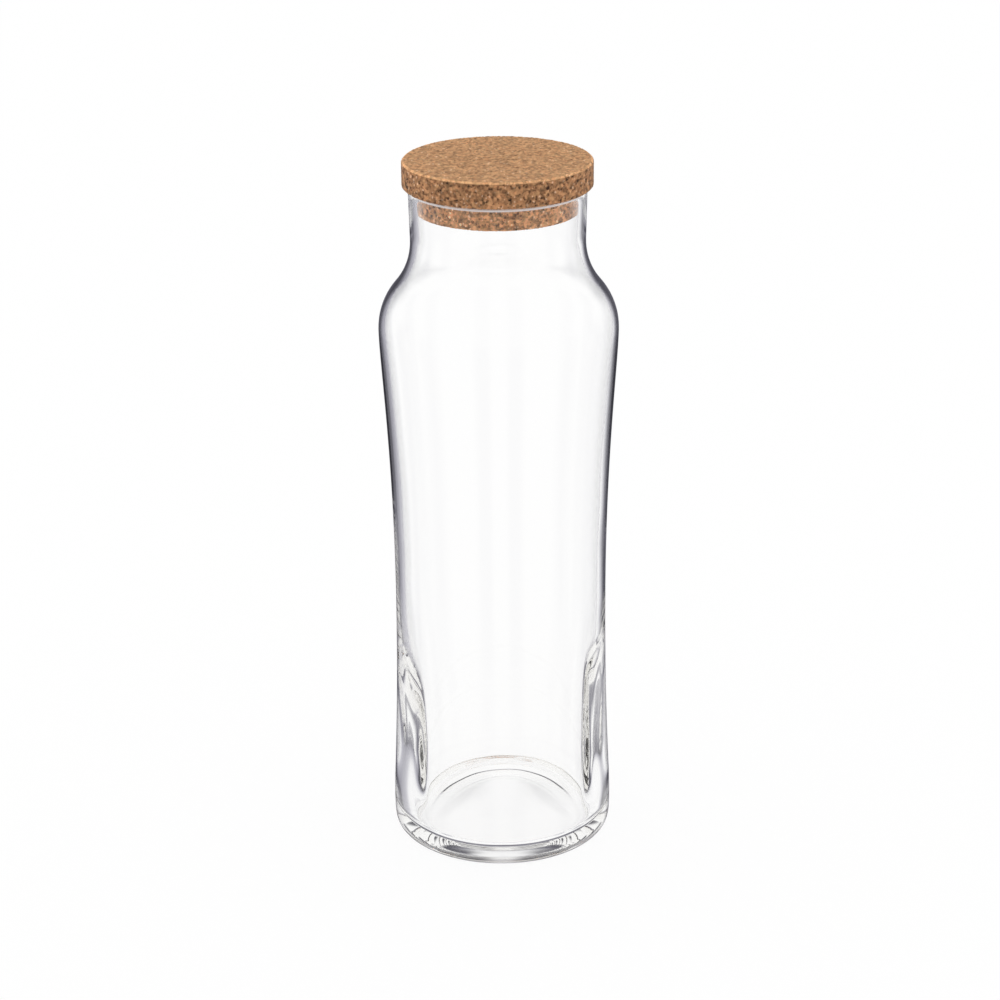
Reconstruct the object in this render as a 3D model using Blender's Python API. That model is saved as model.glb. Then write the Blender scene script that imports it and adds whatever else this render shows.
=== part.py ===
"""A clear glass carafe closed by a turned cork stopper.

Metres, +Z up, with the origin on the surface that the bottle stands on, under the middle of its foot.
Both pieces are turned about the Z axis, from outlines made of arcs, Bezier runs and straight lines.
An outline is a list of (radius, height) points.
"""

from math import acos, cos, hypot, pi, radians, sin, tan

import bmesh
import bpy
from mathutils import Vector
from mathutils.geometry import interpolate_bezier

# Outside of the glass, from the ground up
BOTTLE_HEIGHT = 0.2792
REST_RING_RADIUS = 0.0433
FOOT_RADIUS = 0.0462
FOOT_HEIGHT = 0.0122
WAIST_RADIUS = 0.0438
WAIST_HEIGHT = 0.1088
SHOULDER_RADIUS = 0.04825
RIM_ABOVE_SHOULDER = 0.0580
SHOULDER_HEIGHT = BOTTLE_HEIGHT - RIM_ABOVE_SHOULDER
SHOULDER_BEND = 0.0267
NECK_BEND = 0.0291
NECK_RADIUS = 0.0349
NECK_LEAN = radians(1.3)
RIM_ROUNDING = 0.0009

# The hollow under the foot, inside the ring that the bottle stands on
PUNT_RADIUS = 0.0345
PUNT_DEPTH = 0.0036

# Inside of the glass, as walls behind the outside
NECK_WALL = 0.0031
BORE_LEAN = radians(2.9)
SHOULDER_WALL = 0.0023
WAIST_WALL = 0.0034
FOOT_WALL = 0.0082
FOOT_WALL_HEIGHT = 0.0250
FLOOR_OVER_PUNT = 0.0012
FLOOR_THICKNESS = PUNT_DEPTH + FLOOR_OVER_PUNT
FLOOR_CROWN = 0.0018
FLOOR_FILLET = 0.0050

# Cork stopper
FLANGE_RADIUS = 0.0378
FLANGE_THICKNESS = 0.0105
FLANGE_TOP_CHAMFER = 0.0008
FLANGE_UNDER_CHAMFER = 0.0004
PLUG_DEPTH = 0.0096
PLUG_CHAMFER = 0.0008

# Gaps that the two pieces keep
SEAT_GAP = 0.0003
PLUG_CLEARANCE = 0.0003

# How far the body's curves hold their direction, as shares of each run's height or width
FOOT_HOLD = 0.12
LOWER_WAIST_HOLD = 0.61
UPPER_WAIST_HOLD = 0.54
SHOULDER_HOLD = 0.125
HEEL_HOLD = 0.74
THICKENING_HOLD = 0.40
FLOOR_HOLD = 0.5

# How finely the curves are drawn
ROUND_STEPS = 72
ARC_STEPS = 5
RUN_STEPS = 6
RIM_STEPS = 3
MERGE_DISTANCE = 0.000001
SHARP_ANGLE = radians(35)

CUBIC_METRES_PER_LITRE = 0.001


def clear_scene():
    """Remove the objects of the open scene, so that it holds only the bottle."""
    for item in list(bpy.data.objects):
        bpy.data.objects.remove(item, do_unlink=True)


def surface(name, colour, roughness):
    """A Principled material of one plain colour."""
    material = bpy.data.materials.new(name)
    material.use_nodes = True
    shader = material.node_tree.nodes["Principled BSDF"]
    shader.inputs["Base Color"].default_value = (*colour, 1.0)
    shader.inputs["Roughness"].default_value = roughness
    shader.inputs["Metallic"].default_value = 0.0
    return material


def clear_glass():
    """Colourless glass, polished by fire."""
    material = surface("clear_glass", (0.95, 0.95, 0.98), 0.02)
    shader = material.node_tree.nodes["Principled BSDF"]
    shader.inputs["Transmission Weight"].default_value = 1.0
    shader.inputs["IOR"].default_value = 1.52
    return material


def ground_cork():
    """Pressed cork granules, sanded and left bare."""
    return surface("ground_cork", (0.44, 0.24, 0.13), 0.85)


def arc(radius, height, bend, start, end, steps=ARC_STEPS):
    """Points on an arc of radius bend about the centre (radius, height), from one angle to another."""
    angles = [start + (end - start) * step / steps for step in range(steps + 1)]
    return [(radius + bend * cos(angle), height + bend * sin(angle)) for angle in angles]


def run(start, start_handle, end_handle, end):
    """Points on a Bezier run from one point to another, led by its two handles."""
    corners = [Vector((radius, 0.0, height)) for radius, height in (start, start_handle, end_handle, end)]
    return [(point.x, point.z) for point in interpolate_bezier(*corners, RUN_STEPS + 1)]


def upright_run(start, start_hold, end_hold, end):
    """A run that leaves and arrives upright and holds that direction for shares of its height."""
    rise = end[1] - start[1]
    return run(start, (start[0], start[1] + start_hold * rise), (end[0], end[1] - end_hold * rise), end)


def chain(*stretches):
    """One outline from stretches that each begin where the one before ends."""
    points = list(stretches[0])
    for stretch in stretches[1:]:
        for point in stretch:
            if hypot(point[0] - points[-1][0], point[1] - points[-1][1]) > MERGE_DISTANCE:
                points.append(point)
    return points


def shoulder_to_neck(shoulder_radius, neck_radius, shoulder_bend, neck_bend, lean):
    """The S from the widest point of the shoulder up into a neck that leans outwards."""
    turn = acos(1.0 - (shoulder_radius - neck_radius) / (shoulder_bend + neck_bend))
    neck_height = SHOULDER_HEIGHT + (shoulder_bend + neck_bend) * sin(turn)
    low = arc(shoulder_radius - shoulder_bend, SHOULDER_HEIGHT, shoulder_bend, 0.0, turn)
    high = arc(neck_radius + neck_bend, neck_height, neck_bend, pi + turn, pi - lean)
    return chain(low, high)


def outer_shoulder():
    """The outside of the glass from the shoulder to the root of the neck."""
    return shoulder_to_neck(SHOULDER_RADIUS, NECK_RADIUS, SHOULDER_BEND, NECK_BEND, NECK_LEAN)


def inner_shoulder():
    """The inside of the glass from the shoulder to the root of the neck."""
    return shoulder_to_neck(
        SHOULDER_RADIUS - SHOULDER_WALL,
        NECK_RADIUS - NECK_WALL,
        SHOULDER_BEND - SHOULDER_WALL,
        NECK_BEND + NECK_WALL,
        BORE_LEAN,
    )


def leaned_radius(root, lean, height):
    """Radius at a height on the straight neck above its root."""
    return root[0] + (height - root[1]) * tan(lean)


def bore_radius(height):
    """Radius of the neck's bore at a height, rim rounding left out."""
    return leaned_radius(inner_shoulder()[-1], BORE_LEAN, height)


def under_foot():
    """The punt and the flat ring that the bottle stands on, from the axis outwards."""
    punt = run(
        (0.0, PUNT_DEPTH),
        (PUNT_RADIUS * FLOOR_HOLD, PUNT_DEPTH),
        (PUNT_RADIUS * FLOOR_HOLD, PUNT_DEPTH),
        (PUNT_RADIUS, 0.0),
    )
    return chain(punt, [(REST_RING_RADIUS, 0.0)])


def outer_body():
    """The outside from the resting ring round the foot and up past the waist to the shoulder."""
    heel = run(
        (REST_RING_RADIUS, 0.0),
        (FOOT_RADIUS, 0.0),
        (FOOT_RADIUS, FOOT_HEIGHT * (1.0 - HEEL_HOLD)),
        (FOOT_RADIUS, FOOT_HEIGHT),
    )
    waist = (WAIST_RADIUS, WAIST_HEIGHT)
    lower = upright_run((FOOT_RADIUS, FOOT_HEIGHT), FOOT_HOLD, LOWER_WAIST_HOLD, waist)
    upper = upright_run(waist, UPPER_WAIST_HOLD, SHOULDER_HOLD, (SHOULDER_RADIUS, SHOULDER_HEIGHT))
    return chain(heel, lower, upper)


def rim():
    """The rim from its outer edge over to its inner edge, both rounded."""
    height = BOTTLE_HEIGHT - RIM_ROUNDING
    outer = leaned_radius(outer_shoulder()[-1], NECK_LEAN, height) - RIM_ROUNDING
    inner = bore_radius(height) + RIM_ROUNDING
    outer_edge = arc(outer, height, RIM_ROUNDING, 0.0, pi / 2, RIM_STEPS)
    inner_edge = arc(inner, height, RIM_ROUNDING, pi / 2, pi, RIM_STEPS)
    return chain(outer_edge, inner_edge)


def cavity():
    """The inside from the floor's edge up past the waist to the root of the neck."""
    foot_radius = FOOT_RADIUS - FOOT_WALL
    waist = (WAIST_RADIUS - WAIST_WALL, WAIST_HEIGHT)
    shoulder = (SHOULDER_RADIUS - SHOULDER_WALL, SHOULDER_HEIGHT)
    fillet_height = FLOOR_THICKNESS + FLOOR_FILLET
    fillet = arc(foot_radius - FLOOR_FILLET, fillet_height, FLOOR_FILLET, -pi / 2, 0.0)
    thickening = upright_run((foot_radius, FOOT_WALL_HEIGHT), THICKENING_HOLD, THICKENING_HOLD, waist)
    upper = upright_run(waist, UPPER_WAIST_HOLD, SHOULDER_HOLD, shoulder)
    return chain(fillet, thickening, upper, inner_shoulder())


def floor():
    """The cavity's floor, a low crown, from its edge to the axis."""
    edge = FOOT_RADIUS - FOOT_WALL - FLOOR_FILLET
    crown = FLOOR_THICKNESS + FLOOR_CROWN
    return run(
        (edge, FLOOR_THICKNESS),
        (edge * FLOOR_HOLD, FLOOR_THICKNESS),
        (edge * FLOOR_HOLD, crown),
        (0.0, crown),
    )


def bottle_outline():
    """The glass from the axis under the punt, round the outside, over the rim and down to the floor."""
    outside = chain(under_foot(), outer_body(), outer_shoulder(), rim())
    inside = chain(list(reversed(cavity())), floor())
    return chain(outside, inside)


def stopper_outline():
    """The cork from the axis under the plug to the axis on top, with heights above the rim."""
    plug_foot = -PLUG_DEPTH
    flange_top = SEAT_GAP + FLANGE_THICKNESS
    plug_root_radius = bore_radius(BOTTLE_HEIGHT + SEAT_GAP) - PLUG_CLEARANCE
    plug_foot_radius = bore_radius(BOTTLE_HEIGHT + plug_foot) - PLUG_CLEARANCE
    return [
        (0.0, plug_foot),
        (plug_foot_radius - PLUG_CHAMFER, plug_foot),
        (plug_foot_radius, plug_foot + PLUG_CHAMFER),
        (plug_root_radius, SEAT_GAP),
        (FLANGE_RADIUS - FLANGE_UNDER_CHAMFER, SEAT_GAP),
        (FLANGE_RADIUS, SEAT_GAP + FLANGE_UNDER_CHAMFER),
        (FLANGE_RADIUS, flange_top - FLANGE_TOP_CHAMFER),
        (FLANGE_RADIUS - FLANGE_TOP_CHAMFER, flange_top),
        (0.0, flange_top),
    ]


def turn(name, outline, material):
    """A closed solid that the outline sweeps in one turn about the Z axis."""
    shape = bmesh.new()
    points = [shape.verts.new((radius, 0.0, height)) for radius, height in outline]
    edges = [shape.edges.new(pair) for pair in zip(points, points[1:])]
    bmesh.ops.spin(
        shape,
        geom=points + edges,
        cent=(0.0, 0.0, 0.0),
        axis=(0.0, 0.0, 1.0),
        angle=2.0 * pi,
        steps=ROUND_STEPS,
        use_merge=True,
    )
    bmesh.ops.remove_doubles(shape, verts=shape.verts, dist=MERGE_DISTANCE)
    bmesh.ops.recalc_face_normals(shape, faces=shape.faces)
    mesh = bpy.data.meshes.new(name)
    shape.to_mesh(mesh)
    shape.free()
    mesh.shade_smooth()
    mesh.set_sharp_from_angle(angle=SHARP_ANGLE)
    mesh.materials.append(material)
    piece = bpy.data.objects.new(name, mesh)
    bpy.context.scene.collection.objects.link(piece)
    return piece


def lift_axis():
    """An empty on the bottle's axis at the rim, along which the stopper lifts."""
    axis = bpy.data.objects.new("stopper_lift_axis", None)
    axis.location = (0.0, 0.0, BOTTLE_HEIGHT)
    bpy.context.scene.collection.objects.link(axis)
    return axis


def litres_to_brim():
    """What the cavity holds, as a stack of thin cones between its outline's points."""
    brim = (bore_radius(BOTTLE_HEIGHT), BOTTLE_HEIGHT)
    walls = chain(list(reversed(floor())), cavity(), [brim])
    volume = 0.0
    for (low_radius, low), (high_radius, high) in zip(walls, walls[1:]):
        squares = low_radius**2 + low_radius * high_radius + high_radius**2
        volume += pi * (high - low) * squares / 3.0
    return volume / CUBIC_METRES_PER_LITRE


def main():
    """Make the bottle and seat the stopper in its neck."""
    clear_scene()
    turn("glass_bottle", bottle_outline(), clear_glass())
    stopper = turn("cork_stopper", stopper_outline(), ground_cork())
    stopper.parent = lift_axis()
    print(f"The bottle holds {litres_to_brim():.2f} litres to the brim.")


main()
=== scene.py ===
"""Looks of a clear glass carafe and its cork stopper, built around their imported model.

Metres, +Z up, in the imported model's own frame: the bottle stands on z = 0 and its axis is the Z axis.
Both pieces are turned about that axis, from outlines given as radius and height.
"""

from __future__ import annotations

import logging
from dataclasses import dataclass, field
from enum import Enum
from math import acos, ceil, cos, hypot, pi, radians, sin, tan

import bpy
from mathutils import Matrix, Vector
from mathutils.geometry import interpolate_bezier


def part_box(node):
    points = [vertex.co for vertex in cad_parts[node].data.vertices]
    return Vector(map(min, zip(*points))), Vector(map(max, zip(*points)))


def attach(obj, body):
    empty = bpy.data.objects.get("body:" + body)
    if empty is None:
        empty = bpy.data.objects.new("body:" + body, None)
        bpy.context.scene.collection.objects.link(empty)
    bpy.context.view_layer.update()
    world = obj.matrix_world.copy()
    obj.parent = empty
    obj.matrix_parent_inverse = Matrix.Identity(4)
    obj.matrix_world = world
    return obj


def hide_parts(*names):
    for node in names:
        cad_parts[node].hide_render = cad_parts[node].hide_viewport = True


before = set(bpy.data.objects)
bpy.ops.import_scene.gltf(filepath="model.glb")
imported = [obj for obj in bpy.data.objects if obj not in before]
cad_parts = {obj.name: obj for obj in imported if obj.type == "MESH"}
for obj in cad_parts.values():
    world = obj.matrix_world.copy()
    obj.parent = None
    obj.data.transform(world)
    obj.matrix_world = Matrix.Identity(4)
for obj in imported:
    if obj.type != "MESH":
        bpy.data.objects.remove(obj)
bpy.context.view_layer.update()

LOG = logging.getLogger("carafe")
MERGE_DISTANCE = 0.000001
FEWEST_STEPS = 4
NOISE_DETAIL = 1.0
MILLIMETRES = 1000.0
HALF_A_BOUNCE = 0.5
HALF_TURN = 180.0

Colour = tuple[float, float, float]
RadiusHeight = tuple[float, float]
Holds = tuple[float, float]
Triple = tuple[float, float, float]
Cards = tuple[tuple[float, float], ...]
Inputs = dict[str | int, object]
Socket = bpy.types.NodeSocket


class Sheet:
    """Adds nodes to one tree and wires each one as it is made."""

    def __init__(self, tree: bpy.types.NodeTree) -> None:
        """Start on a tree.

        Args:
            tree: The tree that receives the nodes.
        """
        self.tree = tree

    def add(self, kind: str, inputs: Inputs | None = None, **settings: object) -> bpy.types.Node:
        """Add one node.

        Args:
            kind: The node's type name.
            inputs: Values or sockets for its inputs, by input name or number.
            settings: Values for the node's own properties.

        Returns:
            The node.
        """
        node = self.tree.nodes.new(kind)
        for name, value in settings.items():
            setattr(node, name, value)
        for key, value in (inputs or {}).items():
            self.feed(node.inputs[key], value)
        return node

    def feed(self, socket: Socket, value: object) -> None:
        """Give an input a value, or the link that carries it.

        Args:
            socket: The input.
            value: A plain value or an output socket.
        """
        if isinstance(value, bpy.types.NodeSocket):
            self.tree.links.new(value, socket)
        else:
            socket.default_value = value

    def math(self, operation: str, *values: object) -> Socket:
        """Add a Math node.

        Args:
            operation: The operation's name.
            values: Its inputs in order.

        Returns:
            The result's socket.
        """
        return self.add("ShaderNodeMath", dict(enumerate(values)), operation=operation).outputs[0]

    def vector(self, operation: str, *values: object) -> bpy.types.Node:
        """Add a Vector Math node.

        Args:
            operation: The operation's name.
            values: Its inputs in order.

        Returns:
            The node, because some operations give a number and some a vector.
        """
        return self.add("ShaderNodeVectorMath", dict(enumerate(values)), operation=operation)

    def scaled(self, vector: Socket, share: Socket) -> Socket:
        """Make a vector longer or shorter.

        Args:
            vector: The vector.
            share: How long it becomes, in its own lengths.

        Returns:
            The scaled vector.
        """
        return self.add("ShaderNodeVectorMath", {0: vector, "Scale": share}, operation="SCALE").outputs[0]

    def axes(self, vector: Socket) -> bpy.types.NodeOutputs:
        """Split a vector into its parts.

        Args:
            vector: The vector.

        Returns:
            Its X, Y and Z.
        """
        return self.add("ShaderNodeSeparateXYZ", {"Vector": vector}).outputs

    def stretched(self, place: Socket, scale: Triple) -> Socket:
        """Stretch the space that a pattern lies in.

        Args:
            place: Where each point lies.
            scale: How many times closer the pattern gets along X, Y and Z.

        Returns:
            The place in the stretched space.
        """
        return self.add("ShaderNodeMapping", {"Vector": place, "Scale": scale}).outputs[0]

    def ease(self, value: Socket, start: object, end: object, low: float = 0.0, high: float = 1.0) -> Socket:
        """Go smoothly from low to high as a value goes from start to end.

        Args:
            value: The driving value.
            start: Where the change begins, a number or a socket.
            end: Where it ends, a number or a socket.
            low: The result up to the start.
            high: The result from the end on.

        Returns:
            The eased value.
        """
        ranges = {"Value": value, "From Min": start, "From Max": end, "To Min": low, "To Max": high}
        return self.add("ShaderNodeMapRange", ranges, interpolation_type="SMOOTHSTEP").outputs["Result"]

    def swing(self, value: Socket, reach: float = 1.0) -> Socket:
        """Turn a value from 0 to 1 into a swing to either side of 0.

        Args:
            value: The value.
            reach: How far it swings at most.

        Returns:
            The swing.
        """
        return self.math("MULTIPLY", self.math("SUBTRACT", value, 0.5), 2.0 * reach)

    def ramp(self, value: Socket, stops: list[tuple[float, Colour]]) -> Socket:
        """Turn a value into a colour, straight from stop to stop.

        Args:
            value: The value, from 0 to 1.
            stops: Positions and their linear colours, in rising order.

        Returns:
            The colour's socket.
        """
        node = self.add("ShaderNodeValToRGB", {"Fac": value})
        elements = node.color_ramp.elements
        while len(elements) < len(stops):
            elements.new(1.0)
        for element, (place, colour) in zip(elements, stops):
            element.position = place
            element.color = (*colour, 1.0)
        return node.outputs["Color"]

    def mix(self, factor: object, low: object, high: object, blend: str = "MIX") -> Socket:
        """Mix two colours.

        Args:
            factor: The share of the second colour.
            low: The first colour or its socket.
            high: The second colour or its socket.
            blend: The blend mode.

        Returns:
            The mixed colour's socket.
        """
        node = self.add("ShaderNodeMix", data_type="RGBA", blend_type=blend, clamp_factor=True)
        self.feed(node.inputs["Factor"], factor)
        for name, colour in (("A", low), ("B", high)):
            socket = next(item for item in node.inputs if item.name == name and item.type == "RGBA")
            self.feed(socket, colour if isinstance(colour, bpy.types.NodeSocket) else (*colour, 1.0))
        return next(item for item in node.outputs if item.type == "RGBA")


def new_material(name: str) -> tuple[bpy.types.Material, Sheet, bpy.types.Node]:
    """Make an empty node material.

    Args:
        name: The material's name.

    Returns:
        The material, a sheet for its nodes, and its output node.
    """
    material = bpy.data.materials.new(name)
    material.use_nodes = True
    material.node_tree.nodes.clear()
    sheet = Sheet(material.node_tree)
    return material, sheet, sheet.add("ShaderNodeOutputMaterial")


@dataclass(frozen=True)
class ClearGlass:
    """Colourless soda glass: painted shade darkens its colour towards its grazing edges, it is greyer where
    it is thick, and a matt near-white band on its rim stands in for the lip's highlight as a painted
    highlight.
    """

    ior: float = 1.5
    roughness: float = 0.0
    mirror: Colour = (0.45, 0.45, 0.45)
    # Painted shade: the darker colour of the grazing edges, and the facings over which it comes in.
    painted_edge_shade: Colour = (0.72, 0.70, 0.78)
    painted_edge_shade_from: float = 0.80
    painted_edge_shade_full: float = 0.97
    depth_tint: Colour = (0.86, 0.85, 0.82)
    depth_density: float = 6.0
    ripple_size: float = 0.018
    ripple_height: float = 0.00002
    ripple_stretch: Triple = (1.0, 1.0, 0.35)
    rim_height: float = 0.2792
    # Painted highlight: a matt near-white band on the top of the rim, in place of the lip's highlight.
    painted_rim_highlight_from: float = 0.0014
    painted_rim_highlight_full: float = 0.0009
    painted_rim_highlight: Colour = (0.97, 0.97, 1.0)
    painted_rim_highlight_share: float = 0.95

    def make(self) -> bpy.types.Material:
        """Build the material.

        Returns:
            The glass.
        """
        material, sheet, output = new_material("clear_glass_finish")
        place = sheet.add("ShaderNodeTexCoord").outputs["Object"]
        noise = sheet.add(
            "ShaderNodeTexNoise",
            {
                "Vector": sheet.stretched(place, self.ripple_stretch),
                "Scale": 1.0 / self.ripple_size,
                "Detail": NOISE_DETAIL,
            },
        )
        bump = sheet.add("ShaderNodeBump", {"Height": noise.outputs["Fac"], "Distance": self.ripple_height})
        # Painted shade: the glass's colour darkens towards its grazing edges, so that its outlines read
        # dark.
        facing = sheet.add("ShaderNodeLayerWeight").outputs["Facing"]
        edge = sheet.ease(facing, self.painted_edge_shade_from, self.painted_edge_shade_full)
        painted_edge_colour = sheet.mix(edge, (1.0, 1.0, 1.0), self.painted_edge_shade)
        shader = sheet.add(
            "ShaderNodeBsdfPrincipled",
            {
                "Base Color": painted_edge_colour,
                "Roughness": self.roughness,
                "IOR": self.ior,
                "Transmission Weight": 1.0,
                "Specular Tint": (*self.mirror, 1.0),
                "Normal": bump.outputs["Normal"],
            },
        )
        # Painted highlight: the rim's top turns into matt near-white, standing in for the lip's highlight.
        low, high = self.rim_height - self.painted_rim_highlight_from, self.rim_height - self.painted_rim_highlight_full
        rim = sheet.ease(sheet.axes(place)["Z"], low, high, 0.0, self.painted_rim_highlight_share)
        matt = sheet.add("ShaderNodeBsdfDiffuse", {"Color": (*self.painted_rim_highlight, 1.0)})
        whole = sheet.add("ShaderNodeMixShader", {0: rim, 1: shader.outputs[0], 2: matt.outputs[0]})
        depth = sheet.add(
            "ShaderNodeVolumeAbsorption", {"Color": (*self.depth_tint, 1.0), "Density": self.depth_density}
        )
        sheet.feed(output.inputs["Surface"], whole.outputs[0])
        sheet.feed(output.inputs["Volume"], depth.outputs[0])
        return material


class Face(Enum):
    """How a face of the cork was finished, as the weight that its points carry."""

    SHELTERED = -1.0
    TURNED = 0.0
    SANDED = 1.0
    EASED_EDGE = 2.0


@dataclass(frozen=True)
class Specks:
    """Small spots of one colour, strewn at random."""

    colour: Colour
    spacing: float
    radius: float
    share: float
    strength: float
    stretch: Triple = (1.0, 1.0, 1.0)
    smallest: float = 0.5
    soft_from: float = 0.6
    soft_to: float = 1.1
    turned_boost: float = 0.7

    def over(self, sheet: Sheet, place: Socket, below: Socket, more: Socket) -> Socket:
        """Strew the spots over a colour.

        Args:
            sheet: The sheet of the material's nodes.
            place: Where each point lies.
            below: The colour under the spots.
            more: How much stronger and more frequent they are, 0 on a sanded face and 1 on a turned one.

        Returns:
            The colour with the spots.
        """
        pattern = {"Vector": sheet.stretched(place, self.stretch), "Scale": 1.0 / self.spacing}
        cells = sheet.add("ShaderNodeTexVoronoi", pattern)
        picks = sheet.add("ShaderNodeSeparateColor", {"Color": cells.outputs["Color"]}).outputs
        reach = self.radius / self.spacing
        size = sheet.math("MULTIPLY_ADD", picks[1], reach, reach * self.smallest)
        inside = sheet.math("DIVIDE", cells.outputs["Distance"], size)
        spot = sheet.ease(inside, self.soft_from, self.soft_to, 1.0, 0.0)
        share = sheet.math("MULTIPLY_ADD", more, self.share, self.share)
        chosen = sheet.math("MULTIPLY", spot, sheet.math("LESS_THAN", picks[0], share))
        boost = (1.0 - self.strength) * self.turned_boost
        strength = sheet.math("MULTIPLY_ADD", more, boost, self.strength)
        return sheet.mix(sheet.math("MULTIPLY", chosen, strength), below, self.colour)


@dataclass(frozen=True)
class GroundCork:
    """Pressed cork, turned and sanded: softly varied granules, dark bark specks and pale flecks, with
    painted shade on its turned sides, a painted highlight on the top's chamfer and painted light on the plug
    in the neck.
    """

    granule: float = 0.0011
    cloud: float = 0.0015
    stretch: Triple = (1.0, 0.70, 1.0)
    red: Colour = (0.500, 0.252, 0.118)
    mid: Colour = (0.490, 0.266, 0.130)
    olive: Colour = (0.475, 0.276, 0.134)
    mid_from: float = 0.35
    mid_to: float = 0.65
    granule_contrast: float = 0.26
    cloud_contrast: float = 0.60
    turned_gain: float = 1.1
    # Painted shade: the turned sides are darker than the sanded top, as faces that get less light.
    turned_side_shade: float = 0.63
    turned_tint: Colour = (1.0, 0.92, 0.89)
    dark: Specks = Specks((0.170, 0.075, 0.036), 0.0012, 0.00042, 0.15, 0.50)
    pale: Specks = Specks((0.820, 0.560, 0.370), 0.0012, 0.00038, 0.22, 0.50, (1.0, 0.9, 0.8))
    bark: Specks = Specks((0.085, 0.036, 0.018), 0.0019, 0.00050, 0.08, 0.35, (0.8, 1.0, 0.8))
    # Painted highlight: how much lighter the top's chamfer is painted.
    painted_edge_highlight: float = 1.55
    # Painted light: the plug inside the neck is painted brighter to make up for the shade it stands in.
    painted_plug_light: float = 2.10
    roughness: float = 0.85
    sheen: float = 0.2
    pit_depth: float = 0.00012
    pit_strength: float = 0.5

    def make(self) -> bpy.types.Material:
        """Build the material.

        Returns:
            The cork.
        """
        material, sheet, output = new_material("ground_cork_finish")
        place = sheet.add("ShaderNodeTexCoord").outputs["Object"]
        place = sheet.stretched(place, self.stretch)
        face = sheet.add("ShaderNodeAttribute", attribute_name="zone").outputs["Fac"]
        turned = sheet.ease(face, Face.TURNED.value, Face.SANDED.value, 1.0, 0.0)
        cells = sheet.add("ShaderNodeTexVoronoi", {"Vector": place, "Scale": 1.0 / self.granule})
        picks = sheet.add("ShaderNodeSeparateColor", {"Color": cells.outputs["Color"]}).outputs
        stops = [(0.0, self.red), (self.mid_from, self.mid), (self.mid_to, self.mid), (1.0, self.olive)]
        colour = sheet.ramp(picks[0], stops)
        blur = {"Vector": place, "Scale": 1.0 / self.cloud, "Detail": NOISE_DETAIL}
        cloud = sheet.add("ShaderNodeTexNoise", blur)
        grains = sheet.swing(picks[1], self.granule_contrast)
        clouds = sheet.swing(cloud.outputs["Fac"], self.cloud_contrast)
        gain = sheet.math("MULTIPLY_ADD", turned, self.turned_gain - 1.0, 1.0)
        # Painted shade: darker colour on the turned sides and the plug.
        side_shade_level = sheet.math("MULTIPLY_ADD", turned, self.turned_side_shade - 1.0, 1.0)
        level = sheet.math("MULTIPLY_ADD", sheet.math("ADD", grains, clouds), gain, side_shade_level)
        for specks in (self.pale, self.dark, self.bark):
            colour = specks.over(sheet, place, colour, turned)
        # Painted highlight: the chamfer's colour is made lighter.
        edge_highlight_gain = sheet.ease(face, Face.SANDED.value, Face.EASED_EDGE.value, 1.0, self.painted_edge_highlight)
        # Painted light: the plug's colour is brightened against the shade inside the neck.
        plug_light_gain = sheet.ease(face, Face.SHELTERED.value, Face.TURNED.value, self.painted_plug_light, 1.0)
        level = sheet.math("MULTIPLY", level, sheet.math("MULTIPLY", edge_highlight_gain, plug_light_gain))
        colour = sheet.mix(turned, colour, sheet.mix(1.0, colour, self.turned_tint, "MULTIPLY"))
        pits = {"Height": level, "Distance": self.pit_depth, "Strength": self.pit_strength}
        bump = sheet.add("ShaderNodeBump", pits)
        shader = sheet.add(
            "ShaderNodeBsdfPrincipled",
            {
                "Base Color": sheet.scaled(colour, level),
                "Roughness": self.roughness,
                "Specular IOR Level": self.sheen,
                "Normal": bump.outputs["Normal"],
            },
        )
        sheet.feed(output.inputs["Surface"], shader.outputs[0])
        return material


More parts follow.
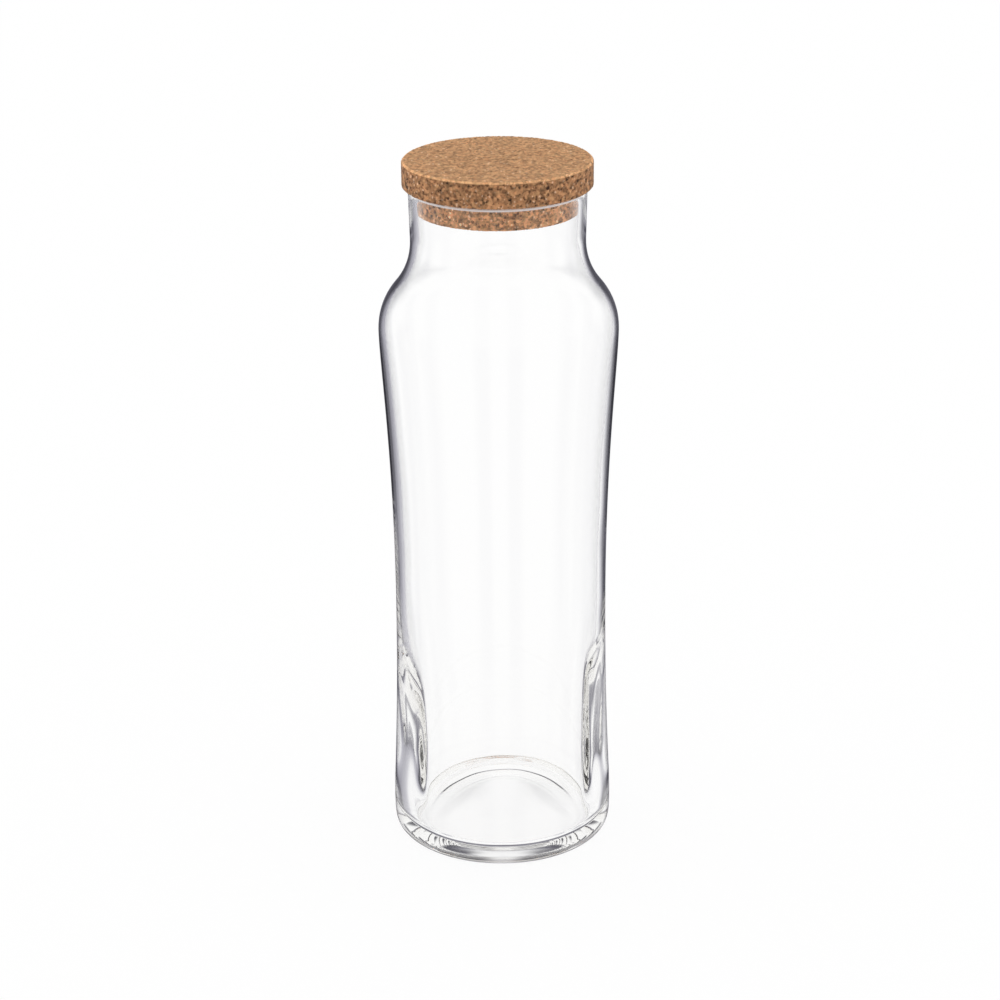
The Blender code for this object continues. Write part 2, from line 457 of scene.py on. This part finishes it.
@dataclass
class Outline:
    """A turned piece's outline: radii and heights, and at each point the weight that its surface carries."""

    points: list[Triple] = field(default_factory=list)
    weight: float = 0.0

    def to(self, points: list[RadiusHeight]) -> Outline:
        """Go on through points, leaving out a first one that repeats the last.

        Args:
            points: Radii and heights.

        Returns:
            The outline itself, so that calls can follow each other.
        """
        for radius, height in points:
            last = self.points[-1] if self.points else None
            if last is None or hypot(radius - last[0], height - last[1]) > MERGE_DISTANCE:
                self.points.append((radius, height, self.weight))
        return self

    def arc(self, centre: RadiusHeight, bend: float, start: float, end: float, step: float) -> Outline:
        """Go on along an arc.

        Args:
            centre: Its centre.
            bend: Its radius.
            start: Its first angle.
            end: Its last angle.
            step: About how far apart its points lie.

        Returns:
            The outline itself.
        """
        count = max(FEWEST_STEPS, ceil(abs(end - start) * bend / step))
        angles = [start + (end - start) * index / count for index in range(count + 1)]
        return self.to([(centre[0] + bend * cos(a), centre[1] + bend * sin(a)) for a in angles])

    def run(self, corners: tuple[RadiusHeight, ...], step: float) -> Outline:
        """Go on along a Bezier run.

        Args:
            corners: Its start, its two handles and its end.
            step: About how far apart its points lie.

        Returns:
            The outline itself.
        """
        span = sum(hypot(b[0] - a[0], b[1] - a[1]) for a, b in zip(corners, corners[1:]))
        vectors = [Vector((radius, 0.0, height)) for radius, height in corners]
        count = max(FEWEST_STEPS, ceil(span / step))
        return self.to([(point.x, point.z) for point in interpolate_bezier(*vectors, count + 1)])

    def sway(self, start: RadiusHeight, end: RadiusHeight, holds: Holds, step: float) -> Outline:
        """Go on along a run that starts and ends upright.

        Args:
            start: Its start.
            end: Its end, higher up.
            holds: How long its lower and its upper end stay upright, as shares of its rise.
            step: About how far apart its points lie.

        Returns:
            The outline itself.
        """
        rise = end[1] - start[1]
        low, high = start[1] + holds[0] * rise, end[1] - holds[1] * rise
        return self.run((start, (start[0], low), (end[0], high), end), step)

    def line(self, end: RadiusHeight, step: float) -> Outline:
        """Go on straight.

        Args:
            end: Where the line ends.
            step: About how far apart its points lie.

        Returns:
            The outline itself.
        """
        radius, height, _ = self.points[-1]
        count = max(1, ceil(hypot(end[0] - radius, end[1] - height) / step))
        shares = [index / count for index in range(1, count + 1)]
        return self.to([(radius + (end[0] - radius) * s, height + (end[1] - height) * s) for s in shares])

    def mesh(self, name: str, sweep_radius: float) -> bpy.types.Mesh:
        """Lay the outline out as edges for a sweep about the Z axis.

        Args:
            name: The mesh's name.
            sweep_radius: The radius of the circle that it is swept round.

        Returns:
            A mesh of points and edges, with the weights in an attribute named zone.
        """
        mesh = bpy.data.meshes.new(name)
        places = [(radius - sweep_radius, -height, 0.0) for radius, height, _ in self.points]
        mesh.from_pydata(places, [(i, i + 1) for i in range(len(places) - 1)], [])
        zone = mesh.attributes.new("zone", "FLOAT", "POINT")
        zone.data.foreach_set("value", [weight for _, _, weight in self.points])
        return mesh


class Recipe(Sheet):
    """A Geometry Nodes tree with named inputs, which makes one piece from an outline."""

    def __init__(self, name: str, sizes: dict[str, object], finish: bpy.types.Material) -> None:
        """Start the tree and give it its inputs.

        Args:
            name: The tree's name.
            sizes: Input names and their values: whole numbers, numbers or vectors.
            finish: The material of the finished piece.
        """
        super().__init__(bpy.data.node_groups.new(name, "GeometryNodeTree"))
        interface = self.tree.interface
        interface.new_socket("Geometry", in_out="OUTPUT", socket_type="NodeSocketGeometry")
        interface.new_socket("Outline", in_out="INPUT", socket_type="NodeSocketGeometry")
        kinds = {int: "NodeSocketInt", float: "NodeSocketFloat", tuple: "NodeSocketVector"}
        self.values: dict[str, object] = {}
        for label, value in {**sizes, "Finish": finish}.items():
            kind = kinds.get(type(value), "NodeSocketMaterial")
            socket = interface.new_socket(label, in_out="INPUT", socket_type=kind)
            self.values[socket.identifier] = value
        self.inputs = self.add("NodeGroupInput").outputs

    def swept(self) -> Socket:
        """Sweep the outline in one closed turn.

        Returns:
            The turned shape, with its seam and poles closed.
        """
        profile = self.add("GeometryNodeMeshToCurve", {"Mesh": self.inputs["Outline"]}).outputs[0]
        circle = self.add(
            "GeometryNodeCurvePrimitiveCircle",
            {"Resolution": self.inputs["Sides"], "Radius": self.inputs["Sweep Radius"]},
        )
        swept = self.add("GeometryNodeCurveToMesh", {"Curve": circle.outputs[0], "Profile Curve": profile})
        merging = {"Geometry": swept.outputs[0], "Distance": MERGE_DISTANCE}
        merged = self.add("GeometryNodeMergeByDistance", merging)
        return self.add("GeometryNodeFlipFaces", {"Mesh": merged.outputs[0]}).outputs[0]

    def moved(self, shape: Socket, offset: Socket) -> Socket:
        """Move a shape's points.

        Args:
            shape: The shape.
            offset: How far each point moves.

        Returns:
            The moved shape.
        """
        return self.add("GeometryNodeSetPosition", {"Geometry": shape, "Offset": offset}).outputs[0]

    def finished(self, shape: Socket) -> None:
        """Shade the shape smooth, give it its material and end the tree.

        Args:
            shape: The shape.
        """
        smooth = self.add("GeometryNodeSetShadeSmooth", {"Geometry": shape}).outputs[0]
        real = self.add("GeometryNodeRealizeInstances", {"Geometry": smooth}).outputs[0]
        dressed = self.add("GeometryNodeSetMaterial", {"Geometry": real, "Material": self.inputs["Finish"]})
        self.add("NodeGroupOutput", {"Geometry": dressed.outputs[0]})

    def make(self, name: str, outline: bpy.types.Mesh) -> bpy.types.Object:
        """Run the tree on an outline.

        Args:
            name: The finished piece's name.
            outline: The outline's mesh.

        Returns:
            The piece, as a plain mesh at the origin.
        """
        carrier = bpy.data.objects.new(name + "_outline", outline)
        bpy.context.scene.collection.objects.link(carrier)
        modifier = carrier.modifiers.new("recipe", "NODES")
        modifier.node_group = self.tree
        for identifier, value in self.values.items():
            modifier[identifier] = value
        graph = bpy.context.evaluated_depsgraph_get()
        mesh = bpy.data.meshes.new_from_object(
            carrier.evaluated_get(graph), preserve_all_data_layers=True, depsgraph=graph
        )
        bpy.data.objects.remove(carrier)
        mesh.name = name
        piece = bpy.data.objects.new(name, mesh)
        bpy.context.scene.collection.objects.link(piece)
        return piece


def report(piece: bpy.types.Object) -> None:
    """Log what a piece measures.

    Args:
        piece: The finished piece.
    """
    corners = [Vector(corner) for corner in piece.bound_box]
    spans = [MILLIMETRES * (max(c[i] for c in corners) - min(c[i] for c in corners)) for i in range(3)]
    triangles = sum(len(face.vertices) - 2 for face in piece.data.polygons)
    LOG.info("%s: %.1f x %.1f x %.1f mm, %d triangles", piece.name, *spans, triangles)


@dataclass(frozen=True)
class Swell:
    """A place where the glass runs thicker, so that the cavity's wall stands further in.

    Attributes:
        label: Which one it is.
        depth: How much thicker the glass is.
        turn: Which way its middle lies from the front, positive to the right.
        full_half: Half the angle over which it is at its full depth.
        half: Half the angle that it takes up in all.
        foot: The height where it begins.
        full_foot: The height from which it is at its full depth.
        full_top: The height up to which it is at its full depth.
        top: The height where it ends.
    """

    label: str
    depth: float
    turn: float
    full_half: float
    half: float
    foot: float
    full_foot: float
    full_top: float
    top: float

    def sizes(self) -> dict[str, float]:
        """Its named inputs.

        Returns:
            Input names and values.
        """
        values = {
            "Swell": self.depth,
            "Turn": self.turn,
            "Full Edge": cos(self.full_half),
            "Edge": cos(self.half),
            "Foot": self.foot,
            "Full Foot": self.full_foot,
            "Full Top": self.full_top,
            "Top": self.top,
        }
        return {f"{self.label} {name}": value for name, value in values.items()}

    def offset(self, recipe: Recipe, outwards: Socket, height: Socket, zone: Socket) -> Socket:
        """Work out how far it moves a point of the cavity's wall.

        Args:
            recipe: The bottle's recipe.
            outwards: The level direction from the axis to the point.
            height: The point's height.
            zone: 1 on the cavity.

        Returns:
            The move, towards the axis.
        """
        inputs = [recipe.inputs[name] for name in self.sizes()]
        depth, turn, full_edge, edge, foot, full_foot, full_top, top = inputs
        across = recipe.math("SINE", turn)
        along = recipe.math("MULTIPLY", recipe.math("COSINE", turn), -1.0)
        centre = recipe.add("ShaderNodeCombineXYZ", {"X": across, "Y": along}).outputs[0]
        nearness = recipe.vector("DOT_PRODUCT", outwards, centre).outputs["Value"]
        flank = recipe.math("MULTIPLY", recipe.ease(nearness, edge, full_edge), zone)
        low, high = recipe.ease(height, foot, full_foot), recipe.ease(height, top, full_top)
        share = recipe.math("MULTIPLY", flank, recipe.math("MULTIPLY", low, high))
        inwards = recipe.math("MULTIPLY", recipe.math("MULTIPLY", share, depth), -1.0)
        return recipe.scaled(outwards, inwards)


@dataclass
class GlassBottle:
    """The blown glass bottle: foot, waist, shoulder, neck and rim outside, and its cavity inside."""

    finish: ClearGlass
    node: str = "glass_bottle"
    body: str = "bottle"
    rest_ring_radius: float = 0.0433
    foot_radius: float = 0.0462
    foot_height: float = 0.0122
    waist_radius: float = 0.0438
    waist_height: float = 0.1088
    rim_above_shoulder: float = 0.0580
    shoulder_bend: float = 0.0267
    neck_bend: float = 0.0291
    neck_radius: float = 0.0349
    neck_lean: float = radians(1.3)
    rim_rounding: float = 0.0014
    neck_wall: float = 0.0031
    bore_lean: float = radians(2.9)
    shoulder_wall: float = 0.0023
    waist_wall: float = 0.0034
    foot_wall: float = 0.0082
    foot_wall_height: float = 0.0250
    floor_thickness: float = 0.0048
    floor_crown: float = 0.0018
    floor_fillet: float = 0.0050
    punt_radius: float = 0.0345
    punt_depth: float = 0.0036
    heel_handle: float = 0.26
    foot_holds: Holds = (0.12, 0.61)
    body_holds: Holds = (0.54, 0.125)
    thickening_holds: Holds = (0.40, 0.40)
    step: float = 0.0020
    rim_steps: int = 5
    sides: int = 216
    drift: Vector = field(default_factory=lambda: Vector((0.0003, 0.0, 0.0)))
    drift_from: float = 0.200
    drift_full: float = 0.060
    swells: tuple[Swell, ...] = (
        Swell("Left", 0.0022, radians(-72.0), radians(2.0), radians(23.0), 0.012, 0.040, 0.042, 0.087),
        Swell("Right", 0.0020, radians(74.0), radians(2.0), radians(21.0), 0.012, 0.036, 0.067, 0.091),
    )
    waver: float = 0.0002
    waver_size: float = 0.030
    seed: float = 3.0

    def __post_init__(self) -> None:
        """Take the height and the shoulder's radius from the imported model."""
        low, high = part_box(self.node)
        self.height = high.z
        self.shoulder_radius = (high.x - low.x) / 2.0
        self.shoulder_height = self.height - self.rim_above_shoulder

    def shoulder_to_neck(
        self, outline: Outline, shoulder: float, neck: float, bends: RadiusHeight, lean: float
    ) -> RadiusHeight:
        """Add the S from the shoulder's widest point up into the neck, or only work out its end.

        Args:
            outline: The outline that receives it.
            shoulder: The radius at the shoulder.
            neck: The radius at the neck's root.
            bends: The radii of the lower and the upper arc.
            lean: How far the neck leans outwards.

        Returns:
            Where the S ends and the straight neck begins.
        """
        low_bend, high_bend = bends
        turn = acos(1.0 - (shoulder - neck) / (low_bend + high_bend))
        centre_height = self.shoulder_height + (low_bend + high_bend) * sin(turn)
        outline.arc((shoulder - low_bend, self.shoulder_height), low_bend, 0.0, turn, self.step)
        outline.arc((neck + high_bend, centre_height), high_bend, pi + turn, pi - lean, self.step)
        radius, height, _ = outline.points[-1]
        return radius, height

    def outside(self, outline: Outline) -> RadiusHeight:
        """Add the underside and the outside up to the neck's root.

        Args:
            outline: The outline that receives them.

        Returns:
            The neck's root.
        """
        step = self.step
        middle, handle = (0.0, self.punt_depth), (self.punt_radius / 2.0, self.punt_depth)
        outline.run((middle, handle, handle, (self.punt_radius, 0.0)), step / 2)
        ring, foot = (self.rest_ring_radius, 0.0), (self.foot_radius, self.foot_height)
        outline.line(ring, step)
        handles = (self.foot_radius, 0.0), (self.foot_radius, self.foot_height * self.heel_handle)
        outline.run((ring, *handles, foot), step / 3)
        waist = (self.waist_radius, self.waist_height)
        shoulder = (self.shoulder_radius, self.shoulder_height)
        outline.sway(foot, waist, self.foot_holds, step)
        outline.sway(waist, shoulder, self.body_holds, step)
        bends = (self.shoulder_bend, self.neck_bend)
        return self.shoulder_to_neck(outline, self.shoulder_radius, self.neck_radius, bends, self.neck_lean)

    def cavity(self) -> tuple[Outline, RadiusHeight]:
        """The inside from the middle of the floor up to the neck's root.

        Returns:
            The outline and the bore's root.
        """
        outline, step = Outline(), self.step
        foot = (self.foot_radius - self.foot_wall, self.foot_wall_height)
        edge = foot[0] - self.floor_fillet
        floor, crown = self.floor_thickness, self.floor_thickness + self.floor_crown
        outline.run(((0.0, crown), (edge / 2, crown), (edge / 2, floor), (edge, floor)), step)
        outline.arc((edge, floor + self.floor_fillet), self.floor_fillet, -pi / 2, 0.0, step / 4)
        outline.line(foot, step)
        waist = (self.waist_radius - self.waist_wall, self.waist_height)
        shoulder = (self.shoulder_radius - self.shoulder_wall, self.shoulder_height)
        outline.sway(foot, waist, self.thickening_holds, step)
        outline.sway(waist, shoulder, self.body_holds, step)
        bends = (self.shoulder_bend - self.shoulder_wall, self.neck_bend + self.neck_wall)
        neck = self.neck_radius - self.neck_wall
        return outline, self.shoulder_to_neck(outline, shoulder[0], neck, bends, self.bore_lean)

    def outline(self) -> Outline:
        """The whole outline, from the axis under the foot round to the axis on the floor.

        Returns:
            The outline, with weight 1 on the cavity.
        """
        whole = Outline()
        root = self.outside(whole)
        inside, bore = self.cavity()
        height = self.height - self.rim_rounding
        outer = root[0] + (height - root[1]) * tan(self.neck_lean) - self.rim_rounding
        inner = bore[0] + (height - bore[1]) * tan(self.bore_lean) + self.rim_rounding
        fine = self.rim_rounding / self.rim_steps
        whole.line((outer + self.rim_rounding, height), self.step)
        whole.arc((outer, height), self.rim_rounding, 0.0, pi / 2, fine)
        whole.arc((inner, height), self.rim_rounding, pi / 2, pi, fine)
        whole.line(bore, self.step)
        whole.weight = 1.0
        return whole.to([(radius, high) for radius, high, _ in reversed(inside.points)])

    def build(self) -> bpy.types.Object:
        """Turn the outline, and let the cavity drift and waver as blown glass does.

        Returns:
            The bottle.
        """
        sizes = {
            "Sides": self.sides,
            "Sweep Radius": self.foot_radius,
            "Drift": tuple(self.drift),
            "Drift From": self.drift_from,
            "Drift Full": self.drift_full,
            "Waver": self.waver,
            "Waver Size": self.waver_size,
            "Seed": self.seed,
        }
        for swell in self.swells:
            sizes |= swell.sizes()
        recipe = Recipe("blown_glass", sizes, self.finish.make())
        shape = recipe.swept()
        place = recipe.add("GeometryNodeInputPosition").outputs[0]
        height = recipe.axes(place)["Z"]
        zone = recipe.add("GeometryNodeInputNamedAttribute", {"Name": "zone"}, data_type="FLOAT").outputs[0]
        fade = recipe.ease(height, recipe.inputs["Drift From"], recipe.inputs["Drift Full"])
        share = recipe.math("MULTIPLY", fade, zone)
        noise = recipe.add(
            "ShaderNodeTexNoise",
            {
                "Vector": place,
                "W": recipe.inputs["Seed"],
                "Scale": recipe.math("DIVIDE", 1.0, recipe.inputs["Waver Size"]),
                "Detail": NOISE_DETAIL,
            },
            noise_dimensions="4D",
        )
        swing = recipe.swing(noise.outputs["Fac"])
        reach = recipe.math("MULTIPLY", recipe.math("MULTIPLY", swing, recipe.inputs["Waver"]), share)
        sideways = recipe.vector("MULTIPLY", place, (1.0, 1.0, 0.0)).outputs[0]
        outwards = recipe.vector("NORMALIZE", sideways).outputs[0]
        drift, waver = recipe.scaled(recipe.inputs["Drift"], share), recipe.scaled(outwards, reach)
        offset = recipe.vector("ADD", drift, waver).outputs[0]
        for swell in self.swells:
            offset = recipe.vector("ADD", offset, swell.offset(recipe, outwards, height, zone)).outputs[0]
        recipe.finished(recipe.moved(shape, offset))
        piece = recipe.make("carafe_glass", self.outline().mesh("glass_outline", self.foot_radius))
        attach(piece, self.body)
        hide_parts(self.node)
        return piece


@dataclass
class CorkStopper:
    """The turned cork stopper: a flange that rests on the rim and a plug that sits in the neck."""

    finish: GroundCork
    node: str = "cork_stopper"
    body: str = "stopper"
    rim_height: float = 0.2792
    seat_gap: float = 0.0003
    top_chamfer: float = 0.0008
    under_chamfer: float = 0.0006
    plug_chamfer: float = 0.0008
    plug_root_radius: float = 0.03251
    plug_foot_radius: float = 0.03203
    sides: int = 480
    fine: float = 0.00045
    coarse: float = 0.0010
    coarse_part: int = 3
    relief: float = 0.00006
    seam_depth: float = 0.00012
    seam_width: float = 0.15

    def __post_init__(self) -> None:
        """Take the flange's radius and both ends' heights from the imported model."""
        low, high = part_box(self.node)
        self.flange_radius = (high.x - low.x) / 2.0
        self.top = high.z
        self.foot = low.z

    def outline(self) -> Outline:
        """The outline from the axis under the plug to the axis on top.

        Returns:
            The outline, with each face's finish as its weight.
        """
        seat = self.rim_height + self.seat_gap
        whole = Outline([(0.0, self.foot, Face.SHELTERED.value)], Face.SHELTERED.value)
        whole.line((self.plug_foot_radius - self.plug_chamfer, self.foot), self.coarse)
        whole.line((self.plug_foot_radius, self.foot + self.plug_chamfer), self.fine)
        whole.line((self.plug_root_radius, seat), self.fine)
        whole.weight = Face.TURNED.value
        whole.line((self.flange_radius - self.under_chamfer, seat), self.fine)
        whole.line((self.flange_radius, seat + self.under_chamfer), self.fine)
        whole.line((self.flange_radius, self.top - self.top_chamfer), self.fine)
        whole.weight = Face.EASED_EDGE.value
        whole.line((self.flange_radius - self.top_chamfer, self.top), self.fine)
        whole.weight = Face.SANDED.value
        whole.line((self.flange_radius / self.coarse_part, self.top), self.fine)
        return whole.line((0.0, self.top), self.coarse)

    def build(self) -> bpy.types.Object:
        """Turn the outline and sink the granules' seams into its surface.

        Returns:
            The stopper.
        """
        sizes = {
            "Sides": self.sides,
            "Sweep Radius": self.plug_foot_radius,
            "Granule": self.finish.granule,
            "Relief": self.relief,
            "Seam Depth": self.seam_depth,
            "Seam Width": self.seam_width,
        }
        recipe = Recipe("pressed_cork", sizes, self.finish.make())
        shape = recipe.swept()
        place = recipe.add("GeometryNodeInputPosition").outputs[0]
        scale = recipe.math("DIVIDE", 1.0, recipe.inputs["Granule"])
        pattern = {"Vector": place, "Scale": scale}
        cells = recipe.add("ShaderNodeTexVoronoi", pattern)
        pick = recipe.axes(cells.outputs["Color"])["Y"]
        seams = recipe.add("ShaderNodeTexVoronoi", pattern, feature="DISTANCE_TO_EDGE")
        seam = recipe.ease(seams.outputs["Distance"], 0.0, recipe.inputs["Seam Width"], 1.0, 0.0)
        sunk = recipe.math("MULTIPLY", seam, recipe.inputs["Seam Depth"])
        level = recipe.math("MULTIPLY", pick, recipe.inputs["Relief"])
        depth = recipe.math("MULTIPLY", recipe.math("ADD", sunk, level), -1.0)
        normal = recipe.add("GeometryNodeInputNormal").outputs[0]
        recipe.finished(recipe.moved(shape, recipe.scaled(normal, depth)))
        outline = self.outline().mesh("cork_outline", self.plug_foot_radius)
        piece = recipe.make("pressed_cork_stopper", outline)
        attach(piece, self.body)
        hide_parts(self.node)
        return piece


SIDE_AND_FRONT_CARDS: Cards = (
    (64.0, 1.0),
    (70.0, 0.65),
    (79.0, 0.65),
    (84.0, 1.0),
    (96.0, 1.0),
    (101.0, 0.65),
    (110.0, 0.65),
    (116.0, 1.0),
    (152.0, 1.0),
    (158.0, 0.65),
    (168.0, 0.65),
    (173.0, 1.0),
    (180.0, 1.0),
)


@dataclass(frozen=True)
class RoomLight:
    """What rays find in the studio: white all round, and grey cards for the rays that the glass mirrors.

    Each row of cards lists degrees from the back of the room, and how light the room is there.
    """

    white: Colour = (1.0, 1.0, 1.0)
    shade: Colour = (0.82, 0.80, 1.0)
    left_cards: Cards = (
        (0.0, 0.45),
        (5.0, 0.30),
        (9.0, 0.14),
        (13.0, 0.08),
        (23.0, 0.08),
        (27.0, 0.36),
        (36.0, 0.50),
        (42.0, 0.64),
        (47.0, 0.92),
        (52.0, 1.0),
        *SIDE_AND_FRONT_CARDS,
    )
    right_cards: Cards = (
        (0.0, 0.45),
        (4.0, 0.30),
        (8.0, 0.16),
        (12.0, 0.10),
        (25.0, 0.10),
        (30.0, 0.50),
        (34.0, 0.80),
        (38.0, 1.0),
        *SIDE_AND_FRONT_CARDS,
    )
    low_cards: Cards = ((0.0, 0.25), (40.0, 0.25), (55.0, 1.0), (180.0, 1.0))
    high_cards: Cards = ((0.0, 1.0), (3.0, 1.0), (9.0, 0.1), (40.0, 0.1), (50.0, 1.0), (180.0, 1.0))
    across: float = 0.05
    low_from: float = 0.50
    low_full: float = 0.64
    high_from: float = 0.0
    high_full: float = 0.3
    top_from: float = 0.40
    top_full: float = 0.52

    def seen_through(self, sheet: Sheet) -> tuple[Socket, Socket]:
        """Sort rays by what they have met.

        Args:
            sheet: The sheet of the floor's or the world's nodes.

        Returns:
            1 for rays that see the studio itself, and 1 for those of them that a surface has mirrored.
        """
        path = sheet.add("ShaderNodeLightPath").outputs
        kinds = sheet.math("MAXIMUM", path["Is Camera Ray"], path["Is Glossy Ray"])
        kinds = sheet.math("MAXIMUM", kinds, path["Is Transmission Ray"])
        direct = sheet.math("LESS_THAN", path["Diffuse Depth"], HALF_A_BOUNCE)
        mirrored = sheet.math("GREATER_THAN", path["Glossy Depth"], HALF_A_BOUNCE)
        return sheet.math("MULTIPLY", kinds, direct), mirrored

    def grey(self, level: float) -> Colour:
        """Colour one card: white at full level, and towards the shade's own hue as it darkens.

        Args:
            level: How light the card is.

        Returns:
            Its colour.
        """
        return tuple(level * (1.0 - (1.0 - level) * (1.0 - part)) for part in self.shade)

    def cards(self, sheet: Sheet, direction: Socket) -> Socket:
        """The room's grey cards, which stand round the bottle on every side.

        Args:
            sheet: The sheet of nodes.
            direction: The place or direction that is seen.

        Returns:
            Their colour.
        """
        parts = sheet.axes(direction)
        side = sheet.math("ABSOLUTE", parts["X"])
        turn = sheet.math("DIVIDE", sheet.math("ARCTAN2", side, parts["Y"]), pi)
        left, right, low, high = (
            sheet.ramp(turn, [(angle / HALF_TURN, self.grey(level)) for angle, level in row])
            for row in (self.left_cards, self.right_cards, self.low_cards, self.high_cards)
        )
        down = sheet.math("MULTIPLY", parts["Z"], -1.0)
        middle = sheet.mix(sheet.ease(parts["X"], -self.across, self.across), left, right)
        lower = sheet.mix(sheet.ease(down, self.low_from, self.low_full), middle, low)
        upper = sheet.mix(sheet.ease(parts["Z"], self.top_from, self.top_full), high, self.white)
        return sheet.mix(sheet.ease(parts["Z"], self.high_from, self.high_full), lower, upper)


@dataclass
class Studio:
    """A plain pale floor, soft light and the camera at the photograph's angle."""

    room: RoomLight
    floor_half: float = 6.0
    floor_gap: float = 0.0002
    shadow_share: float = 0.08
    floor_bounce: float = 1.25
    sky_top: float = 1.12
    sky_front: float = 0.25
    sky_back: float = 0.75
    sky_sides: float = 0.45
    back_from: float = -0.7
    back_full: float = 0.8
    sides_from: float = 0.5
    sides_full: float = 1.0
    top_from: float = 0.1
    top_full: float = 0.9
    bounces: int = 48
    lens_per_width: float = 2.526
    sensor: float = 36.0
    camera_place: Triple = (0.0, -0.9672, 0.5342)
    camera_pitch: float = radians(-21.87)
    camera_roll: float = radians(-0.441)

    def build_floor(self) -> bpy.types.Object:
        """Lay the floor.

        Returns:
            The floor.
        """
        material, sheet, output = new_material("studio_floor")
        seen, mirrored = self.room.seen_through(sheet)
        glow = 1.0 - self.shadow_share
        bounce = (self.floor_bounce,) * 3
        emission = sheet.add("ShaderNodeEmission", {"Color": sheet.mix(seen, bounce, (glow, glow, glow))})
        matte = sheet.add("ShaderNodeBsdfDiffuse", {"Color": (*(self.shadow_share,) * 3, 1.0)})
        both = sheet.add("ShaderNodeAddShader", {0: emission.outputs[0], 1: matte.outputs[0]})
        clear = sheet.add("ShaderNodeBsdfTransparent")
        hidden = sheet.math("MULTIPLY", seen, mirrored)
        shown = sheet.add("ShaderNodeMixShader", {0: hidden, 1: both.outputs[0], 2: clear.outputs[0]})
        sheet.feed(output.inputs["Surface"], shown.outputs[0])
        half, low = self.floor_half, -self.floor_gap
        mesh = bpy.data.meshes.new("studio_floor")
        corners = [(-half, -half, low), (half, -half, low), (half, half, low), (-half, half, low)]
        mesh.from_pydata(corners, [], [(0, 1, 2, 3)])
        mesh.materials.append(material)
        floor = bpy.data.objects.new("studio_floor", mesh)
        bpy.context.scene.collection.objects.link(floor)
        return floor

    def build_world(self) -> bpy.types.World:
        """Light the room from above and all round.

        Returns:
            The world.
        """
        world = bpy.data.worlds.new("studio_room")
        world.use_nodes = True
        world.node_tree.nodes.clear()
        sheet = Sheet(world.node_tree)
        seen, mirrored = self.room.seen_through(sheet)
        direction = sheet.add("ShaderNodeTexCoord").outputs["Generated"]
        parts = sheet.axes(direction)
        depth = sheet.ease(parts["Y"], self.back_from, self.back_full, self.sky_front, self.sky_back)
        beside = sheet.math("ABSOLUTE", parts["X"])
        flanks = sheet.ease(beside, self.sides_from, self.sides_full, 0.0, self.sky_sides)
        round_about = sheet.math("ADD", depth, flanks)
        above = sheet.ease(parts["Z"], self.top_from, self.top_full)
        rise = sheet.math("MULTIPLY", sheet.math("SUBTRACT", self.sky_top, round_about), above)
        level = sheet.math("ADD", round_about, rise)
        cards = self.room.cards(sheet, direction)
        shown = sheet.mix(mirrored, self.room.white, cards)
        sky = sheet.add("ShaderNodeCombineColor", {0: level, 1: level, 2: level}).outputs[0]
        back = sheet.add("ShaderNodeBackground", {"Color": sheet.mix(seen, sky, shown)})
        output = sheet.add("ShaderNodeOutputWorld")
        sheet.feed(output.inputs["Surface"], back.outputs[0])
        bpy.context.scene.world = world
        return world

    def build_camera(self) -> bpy.types.Object:
        """Stand the camera where the photograph was taken from.

        Returns:
            The camera.
        """
        data = bpy.data.cameras.new("photograph_view")
        data.sensor_width = self.sensor
        data.lens = self.sensor * self.lens_per_width
        camera = bpy.data.objects.new("photograph_view", data)
        bpy.context.scene.collection.objects.link(camera)
        tilt = Matrix.Rotation(pi / 2 + self.camera_pitch, 4, "X")
        roll = Matrix.Rotation(self.camera_roll, 4, "Z")
        camera.matrix_world = Matrix.Translation(self.camera_place) @ tilt @ roll
        bpy.context.scene.camera = camera
        return camera

    def build(self) -> None:
        """Set up the floor, the light, the camera and how light paths run through glass."""
        self.build_floor()
        self.build_world()
        self.build_camera()
        scene = bpy.context.scene
        scene.view_settings.view_transform = "Standard"
        scene.cycles.max_bounces = self.bounces
        scene.cycles.transmission_bounces = self.bounces
        scene.cycles.glossy_bounces = self.bounces


def main() -> None:
    """Build the pieces in order, report each one and set up the studio."""
    logging.basicConfig(level=logging.INFO, format="%(message)s")
    report(GlassBottle(ClearGlass()).build())
    report(CorkStopper(GroundCork()).build())
    Studio(RoomLight()).build()


if __name__ == "__main__":
    main()
